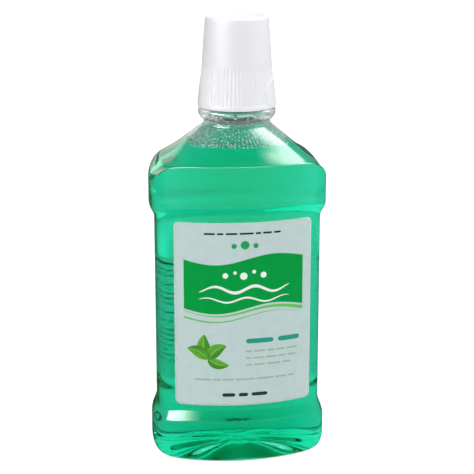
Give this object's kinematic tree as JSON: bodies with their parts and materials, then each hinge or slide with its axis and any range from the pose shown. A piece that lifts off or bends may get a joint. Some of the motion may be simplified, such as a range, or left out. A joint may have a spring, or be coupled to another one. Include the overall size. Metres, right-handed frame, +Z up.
{
  "type": "mouthwash bottle",
  "caption": "Clear flask-shaped bottle of green mouthwash with front and back labels and a tapered white squeeze-and-turn dosing cap.",
  "frame": {"origin": "middle of the foot ring that the bottle stands on", "axes": "+Z up through the neck, the front label faces -Y, +X to the right of the label"},
  "size_m": [0.0822, 0.0568, 0.206],
  "materials": {
    "clear_pet": "clear glossy PET",
    "green_liquid": "clear green liquid",
    "printed_film": "satin printed film",
    "white_cap": "satin moulded polypropylene",
    "natural_cup": "satin natural polypropylene",
    "foam_liner": "matt polyethylene foam"
  },
  "bodies": {
    "bottle": {"bottle": "clear_pet", "mouthwash": "green_liquid", "front_label": "printed_film", "back_label": "printed_film"},
    "liner": {"seal_liner": "foam_liner"},
    "cap": {"cap_shell": "white_cap", "cap_cup": "natural_cup"}
  },
  "joints": [
    {"name": "cap_rise", "type": "slide", "parent": "bottle", "child": "liner", "axis": [0, 0, 1], "range_m": [0, 0.0053]},
    {"name": "cap_turn", "type": "hinge", "parent": "liner", "child": "cap", "pos_m": [0, 0, 0.185], "axis": [0, 0, 1], "range_deg": [0, 450]}
  ],
  "couplings": [
    {"joint": "cap_rise", "follows": "cap_turn", "m_per_rad": 0.00067322}
  ]
}
